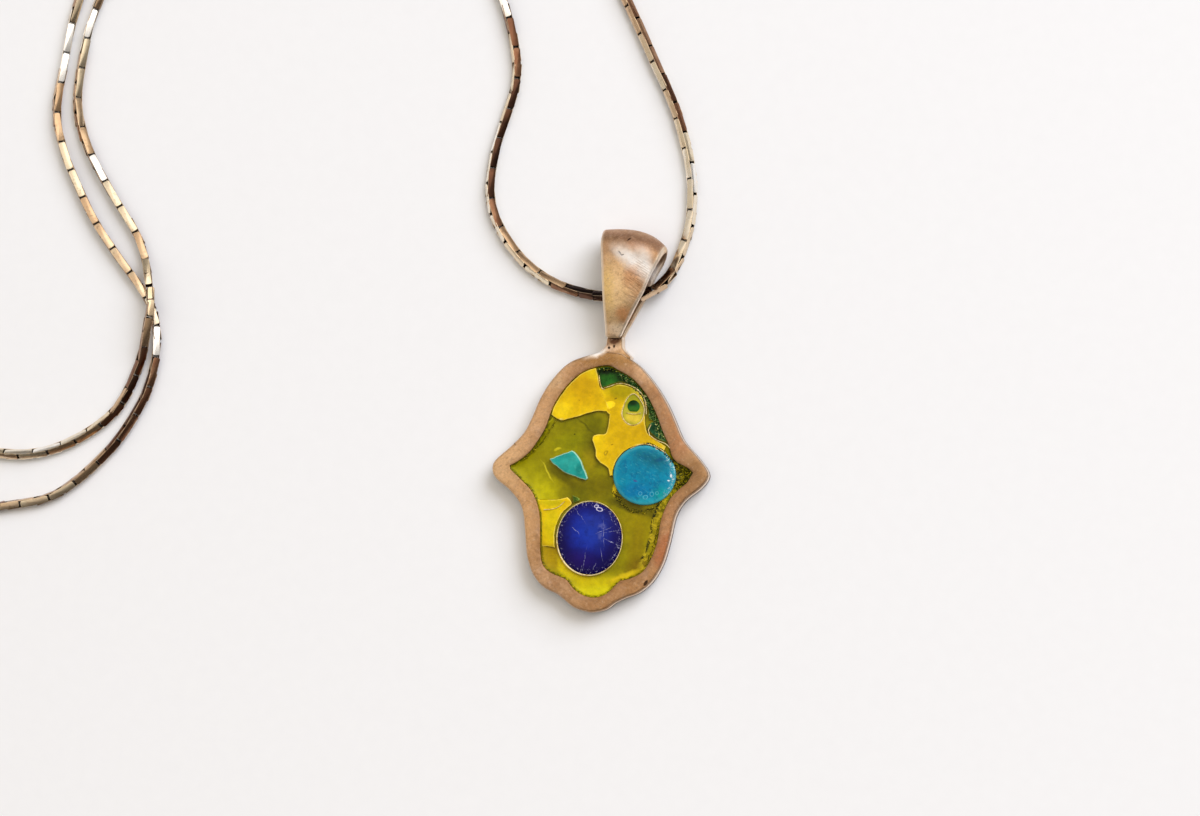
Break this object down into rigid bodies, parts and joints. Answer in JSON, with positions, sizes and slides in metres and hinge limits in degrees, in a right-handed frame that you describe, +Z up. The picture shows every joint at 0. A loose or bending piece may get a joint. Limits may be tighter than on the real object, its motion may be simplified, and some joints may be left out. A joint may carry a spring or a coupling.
{
  "type": "enamel pendant",
  "caption": "Open-hand pendant with an enamelled recess and inset glass, hung by a folded bail on a long box chain.",
  "frame": {"origin": "middle of the setting's flat back, on the surface that the pendant lies on", "axes": "+X to the right with the enamel facing up, +Y towards the bail, +Z up out of the enamel"},
  "size_m": [0.1116, 0.0996, 0.0048],
  "materials": {
    "satin_metal": "satin, lightly brushed",
    "chain_metal": "polished",
    "wire_metal": "satin",
    "olive_enamel": "glossy",
    "yellow_enamel": "glossy",
    "green_enamel": "glossy",
    "pale_olive_enamel": "glossy",
    "turquoise_glass": "glossy",
    "cobalt_glass": "glossy",
    "teal_glass": "glossy",
    "dark_green_glass": "glossy"
  },
  "bodies": {
    "root": {"setting": "satin_metal", "enamel_ground": "olive_enamel", "upper_yellow_field": "yellow_enamel", "middle_yellow_field": "yellow_enamel", "lower_yellow_field": "yellow_enamel", "green_field": "green_enamel", "leaf_green_chip": "green_enamel", "moss_chip": "green_enamel", "drop_cell": "pale_olive_enamel", "drop_centre": "dark_green_glass", "turquoise_disc": "turquoise_glass", "cobalt_disc": "cobalt_glass", "cobalt_wire": "wire_metal", "arch_wire": "wire_metal", "lower_wire": "wire_metal", "teal_chip": "teal_glass", "chain_left": "chain_metal", "chain_right": "chain_metal", "clasp": "chain_metal"}
  },
  "joints": []
}
